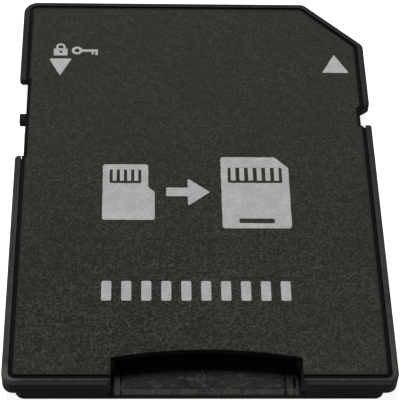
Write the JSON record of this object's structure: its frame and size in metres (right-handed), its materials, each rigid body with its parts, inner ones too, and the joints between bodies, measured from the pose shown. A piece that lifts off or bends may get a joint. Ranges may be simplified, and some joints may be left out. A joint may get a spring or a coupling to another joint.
{
  "type": "memory card adapter",
  "caption": "Flat black adapter in the body of a full-size memory card, with a slot for a small card, a sliding lock tab and contact pads on its underside.",
  "frame": {"origin": "middle of the contact side, on its lowest face", "axes": "+X across the card towards the cut corner, +Y along it towards the contact pads, +Z out of the label side"},
  "size_m": [0.024, 0.032, 0.0021],
  "materials": {
    "shell_plastic": "satin moulded black",
    "cover_plastic": "fine spark-eroded grain, black",
    "slider_plastic": "smooth moulded black",
    "carrier_plastic": "smooth moulded black",
    "contact_plating": "gold flash over nickel",
    "print_ink": "light grey pad print"
  },
  "bodies": {
    "card_body": {"base_shell": "shell_plastic", "label_cover": "cover_plastic", "contact_carrier": "carrier_plastic", "contact_data_2": "contact_plating", "contact_data_3": "contact_plating", "contact_command": "contact_plating", "contact_supply": "contact_plating", "contact_clock": "contact_plating", "contact_ground": "contact_plating", "contact_data_0": "contact_plating", "contact_data_1": "contact_plating"},
    "lock_slider": {"lock_slider": "slider_plastic"}
  },
  "joints": [
    {"name": "lock_slide", "type": "slide", "parent": "card_body", "child": "lock_slider", "axis": [0, 1, 0], "range_m": [-0.00338, 0.00247]}
  ]
}
